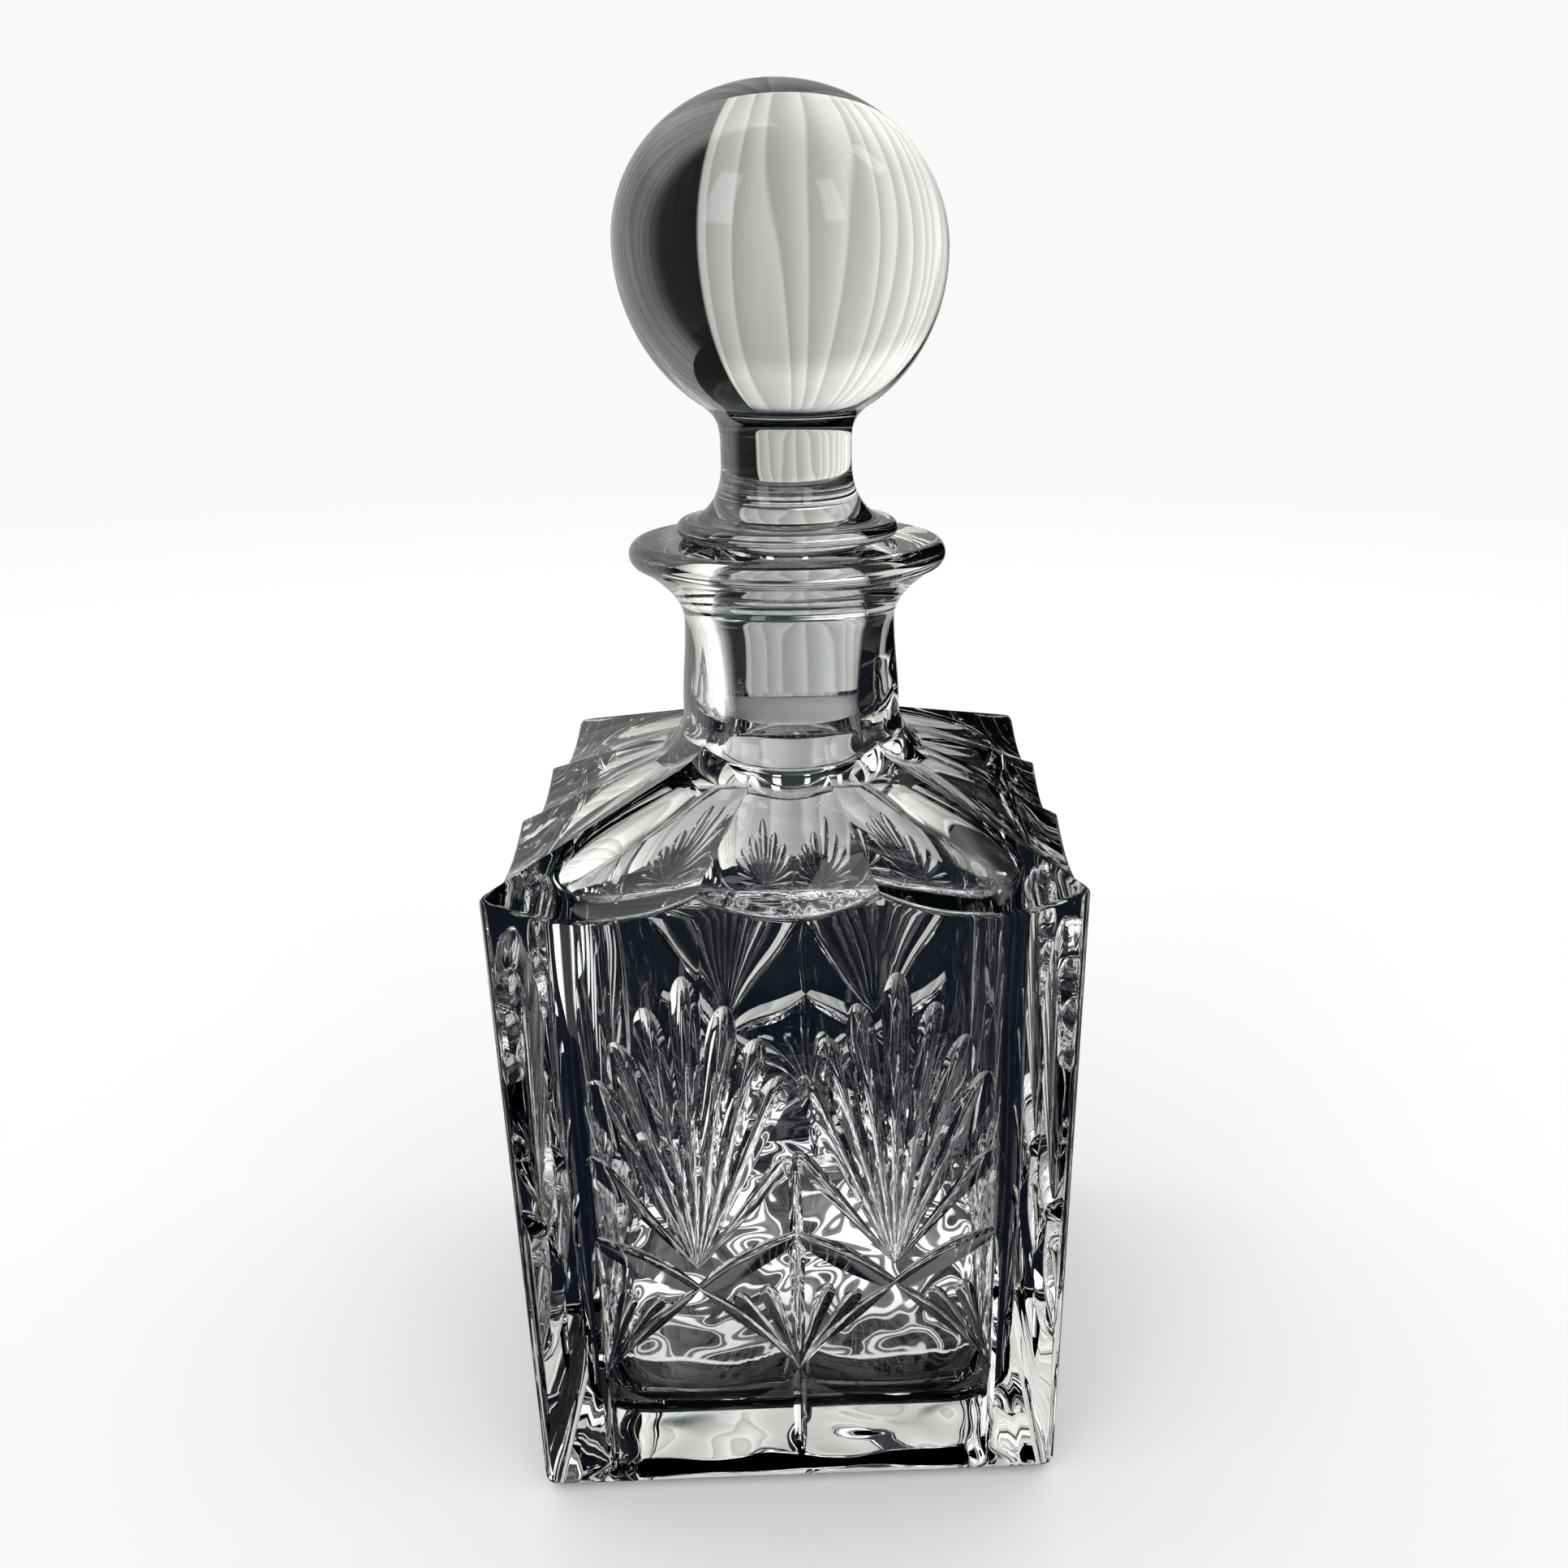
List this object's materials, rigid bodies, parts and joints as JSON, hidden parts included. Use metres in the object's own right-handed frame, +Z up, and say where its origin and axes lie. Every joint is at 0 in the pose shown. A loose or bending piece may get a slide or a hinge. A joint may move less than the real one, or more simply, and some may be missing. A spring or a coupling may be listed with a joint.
{
  "type": "cut crystal decanter",
  "caption": "Square cut crystal decanter with fluted shoulder, fan-cut faces, ring lip and a ball stopper that lifts out.",
  "frame": {"origin": "centre of the flat underside, on the neck's axis", "axes": "+Z up along the neck, -Y out of the front face, +X to the right of the front face"},
  "size_m": [0.094, 0.094, 0.236],
  "materials": {
    "body_crystal": "polished clear cut crystal",
    "stopper_crystal": "polished clear crystal with a ground plug end"
  },
  "bodies": {
    "bottle": {"decanter_body": "body_crystal"},
    "stopper": {"ball_stopper": "stopper_crystal"}
  },
  "joints": [
    {"name": "stopper_lift", "type": "slide", "parent": "bottle", "child": "stopper", "axis": [0, 0, 1], "range_m": [0, 0.1]}
  ]
}
